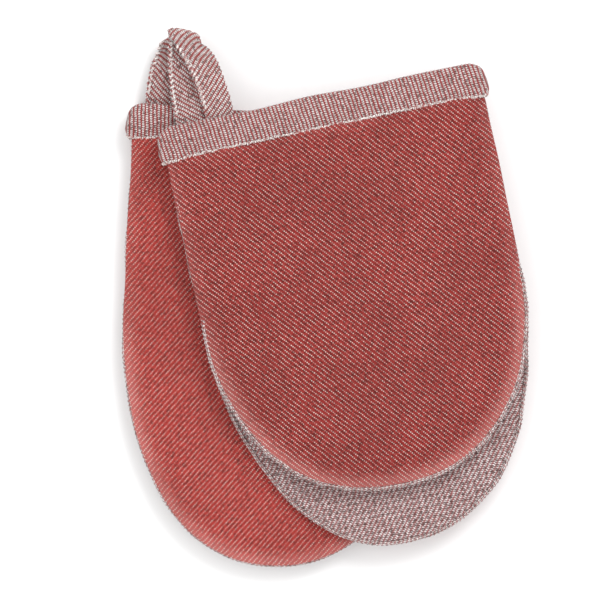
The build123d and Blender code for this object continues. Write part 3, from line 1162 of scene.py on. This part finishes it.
@dataclass(frozen=True)
class Mitt:
    """One pocket mitt: two quilted panels, their bindings, edges and hanging loop."""

    at: MittFrame
    finishes: Finishes
    twill: bpy.types.Material
    loop: Loop
    long_shape: PanelShape
    short_shape: PanelShape
    long_crown: float
    short_crown: float
    long_puff: float
    short_puff: float
    short_swell: float
    long_proud: float  # how far the long binding stands out of its shell
    short_proud: float
    slant: float
    binding_half: float

    def put(
        self,
        piece: bpy.types.Object,
        finish: bpy.types.Material,
        nodes: tuple[str, ...],
        body: str,
    ) -> bpy.types.Object:
        """Dress a piece, let it stand for CAD nodes and ride on a body.

        Args:
            piece: the new piece.
            finish: its material.
            nodes: CAD nodes it stands for, without the mitt's name.
            body: body it rides on, without the mitt's name; empty if it rides on none.

        Returns:
            The piece.
        """
        piece.data.materials.append(finish)
        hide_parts(*(self.at.body(node) for node in nodes))
        if body:
            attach(piece, self.at.body(body))
        LOG.info("%s: %d faces", piece.name, len(piece.data.polygons))
        return piece

    def _blend(self, piece: bpy.types.Object, body: str) -> None:
        """Bake a piece's placement into its points; it follows no body."""
        long_panel = self.at.body("long_panel")
        self.at.body(body)
        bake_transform(piece)

    def panels(self) -> None:
        """Four faces: shell and lining of the long and of the short panel."""
        long_middle, short_middle = PAD / 2, SHORT_INNER + PAD / 2
        long_shape, short_shape = self.long_shape, self.short_shape
        lining_shape = PanelShape(
            long_shape.straight, long_shape.end - 1.0, 96.2, flare=long_shape.flare, seed=long_shape.seed
        )
        shell = HalfPad(
            long_shape, Side.DOWN, long_middle, 2.0, self.long_crown, puff=self.long_puff, seed=17
        )
        lining = HalfPad(lining_shape, Side.UP, long_middle, 2.2, 0.2, edge=5.0, puff=0.9, seed=19)
        cover = HalfPad(
            short_shape, Side.UP, short_middle, 2.2, self.short_crown, puff=self.short_puff,
            swell=self.short_swell, seed=23,
        )
        inner = HalfPad(
            short_shape, Side.DOWN, short_middle, 2.2, 0.1, edge=4.0, puff=0.6, seed=29
        )
        red, light = (self.twill, "red_twill"), (self.finishes.lining, "light_lining")
        for pad, panel, face, (finish, slot) in (
            (shell, "long", "shell", red),
            (lining, "long", "lining", light),
            (cover, "short", "shell", red),
            (inner, "short", "lining", light),
        ):
            nodes = (f"{panel}_{face}",)
            if face == "shell":
                nodes += (f"{panel}_wadding",)
            piece = pad.surface(self.at, self.at.body(f"{panel}_{face}_cloth"))
            self.put(piece, finish, nodes, f"{panel}_panel")

    def bindings(self) -> None:
        """Padded strips over both mouth edges, and the stitches beside them."""
        named = self.at.body
        for panel, low, high, outer in (
            ("long", -self.long_proud, LONG_INNER + 0.8, -1.0),
            ("short", SHORT_INNER - 0.8, SHORT_OUTER + self.short_proud, 1.0),
        ):
            body = f"{panel}_panel"
            binding = Binding(low, high, self.binding_half, slant=self.slant)
            strip = binding.surface(self.at, named(f"{panel}_binding_strip"))
            self.put(strip, self.finishes.binding, (f"{panel}_binding",), body)
            row = binding.fringe(self.at, named(f"{panel}_binding_thread"), outer)
            self.put(row, self.finishes.thread, (f"{panel}_binding_stitching",), body)

    def edges(self) -> None:
        """Rolled edges and the wall between the panels."""
        named = self.at.body
        roll = self.finishes.roll
        for panel, edge in (
            ("long", EdgeRoll(self.long_shape, 3.3, 1.2, -0.45, 0.6, seed=11)),
            ("short", EdgeRoll(self.short_shape, SHORT_INNER + 1.7, 1.5, 0.5, seed=13)),
        ):
            cord = edge.surface(self.at, named(f"{panel}_edge_cord"))
            self.put(cord, roll, (f"{panel}_edge_roll",), f"{panel}_panel")
        wall = SideSeam(self.short_shape).surface(self.at, named("side_seam_cloth"))
        self.put(wall, roll, ("side_seam",), "")
        foot, head = (self.at.world(0.0, -100.0, z) for z in (LONG_INNER, SHORT_INNER))
        self._blend(wall, "short_panel")

    def hanger(self) -> None:
        """The loop, the ends sewn inside the pocket and their stitches."""
        named = self.at.body
        start, end = (self.at.world(self.loop.first.fold, y, 6.5) for y in (-3.0, 7.0))
        tape = self.loop.surface(self.at, named("loop_tape_cloth"))
        self.put(tape, self.finishes.tape, ("loop_tape",), "")
        self._blend(tape, "loop")
        row = StitchRow(3.3, 0.72, 0.4)
        thread = row.surface(named("loop_edge_thread"), *self.loop.stitch_places(self.at))
        self.put(thread, self.finishes.thread, ("loop_edge_stitching",), "")
        self._blend(thread, "loop")
        self._tabs()

    def _tabs(self) -> None:
        """Flat tape ends and the dense rows of stitches across them."""
        named = self.at.body
        centre = (self.loop.first.root + self.loop.second.root) / 2
        y = np.linspace(-13.0, -0.5, 40)
        points = self.at.world(np.full(y.size, centre), y, np.full(y.size, LONG_INNER + 1.7))
        side, up = (np.broadcast_to(way, points.shape) for way in (self.at.right, self.at.up))
        width, thick = np.full(y.size, 17.5 * MM), np.full(y.size, 0.8 * MM)
        tabs = tube(named("loop_tab_tape"), points, width, thick, side, up)
        self.put(tabs, self.finishes.tape, ("loop_tabs",), "long_panel")
        a, rows = np.meshgrid(np.arange(-14.0, 14.5, 1.2), np.array([-10.0, -7.6, -5.2]))
        places = self.at.world(centre + a.ravel(), rows.ravel(), np.full(a.size, LONG_INNER + 2.5))
        slant = self.at.right * 0.35 + self.at.out * 0.937
        ways, ups = (np.broadcast_to(way, places.shape) for way in (slant, self.at.up))
        tack = StitchRow(2.4, 0.35).surface(named("loop_tab_thread"), places, ways, ups)
        self.put(tack, self.finishes.thread, ("loop_bartack",), "long_panel")

    def build(self) -> None:
        """Build the mitt's pieces in sewing order."""
        self.panels()
        self.bindings()
        self.edges()
        self.hanger()


@dataclass(frozen=True)
class Lamp:
    """Square lamp aimed at the mitts: metres and watts."""

    name: str
    place: tuple[float, float, float]
    size: float
    power: float

    def build(self) -> None:
        """Hang the lamp."""
        data = bpy.data.lights.new(self.name, "AREA")
        data.shape = "SQUARE"
        data.size = self.size
        data.energy = self.power
        lamp = placed(self.name, data)
        lamp.location = self.place
        lamp.rotation_euler = Vector(self.place).to_track_quat("Z", "Y").to_euler()


@dataclass(frozen=True)
class Studio:
    """Pale floor, soft lamps from above and the camera that looks straight down."""

    camera_place: tuple[float, float, float] = (-0.0159, -0.0018, 3.025)
    lens: float = 300.0
    sensor: float = 36.0
    sky: float = 1.09
    floor_half: float = 3.0
    floor_grey: float = 0.93
    lamps: tuple[Lamp, ...] = (
        Lamp("key", (0.50, 0.75, 1.25), 0.6, 9.0),
        Lamp("fill", (-0.9, -0.3, 1.2), 1.5, 3.0),
    )

    def floor(self) -> None:
        """Lay a plain pale floor under the mitts."""
        mesh = bpy.data.meshes.new("floor")
        half, grey = self.floor_half, self.floor_grey
        corners = [(-half, -half, 0.0), (half, -half, 0.0), (half, half, 0.0), (-half, half, 0.0)]
        mesh.from_pydata(corners, [], [(0, 1, 2, 3)])
        piece = placed("floor", mesh)
        graph = Graph("pale_floor")
        sockets = {"Base Color": (grey, grey, grey, 1.0), "Roughness": 0.8}
        shader = graph.node("ShaderNodeBsdfPrincipled", {}, sockets, 0)
        mesh.materials.append(graph.output(shader))

    def build(self) -> None:
        """Put up the floor, the lamps, the sky and the camera."""
        self.floor()
        for lamp in self.lamps:
            lamp.build()
        world = bpy.data.worlds.new("studio")
        world.use_nodes = True
        background = world.node_tree.nodes["Background"]
        background.inputs[0].default_value = (1.0, 1.0, 1.0, 1.0)
        background.inputs[1].default_value = self.sky
        bpy.context.scene.world = world
        bpy.context.scene.view_settings.view_transform = "Standard"
        data = bpy.data.cameras.new("camera")
        data.lens = self.lens
        data.sensor_width = self.sensor
        camera = placed("camera", data)
        camera.location = self.camera_place
        bpy.context.scene.camera = camera


def main() -> None:
    """Build both mitts, the light, the floor and the camera."""
    logging.basicConfig(level=logging.INFO, format="%(message)s")
    finishes = Finishes.build()
    front = Mitt(
        at=MittFrame.from_record("front", 1.0),
        finishes=finishes,
        twill=finishes.front_twill,
        loop=Loop(
            first=Leg(-78.3, -78.3, -77.2, -71.3, 51.5, 7.2, 2.8),
            second=Leg(-60.3, -60.6, -62.2, -71.3, 51.5, 9.9, 10.2),
            skew=23.0,
        ),
        long_shape=PanelShape(110.0, 162.6, 97.4, seed=31),
        short_shape=PanelShape(110.0, 127.6, 97.2, power=2.3, seed=37),
        long_crown=0.0, short_crown=0.7, long_puff=0.0, short_puff=1.3, short_swell=2.0,
        long_proud=0.0, short_proud=1.4, slant=0.12, binding_half=100.9,
    )
    rear = Mitt(
        at=MittFrame.from_record("rear", -1.0),
        finishes=finishes,
        twill=finishes.rear_twill,
        loop=Loop(
            first=Leg(-83.4, -84.9, -81.0, -77.6, 38.3, 7.2, 5.4),
            second=Leg(-64.8, -63.6, -68.0, -77.6, 38.3, 9.9, 12.8),
            skew=-28.0,
        ),
        long_shape=PanelShape(110.0, 163.0, 97.4, flare=1.8, seed=41),
        short_shape=PanelShape(110.0, 127.6, 96.6, power=2.3, seed=43),
        long_crown=0.0, short_crown=0.0, long_puff=0.4, short_puff=0.0, short_swell=1.0,
        long_proud=0.6, short_proud=0.0, slant=0.065, binding_half=103.4,
    )
    front.build()
    rear.build()
    Studio().build()


if __name__ == "__main__":
    main()
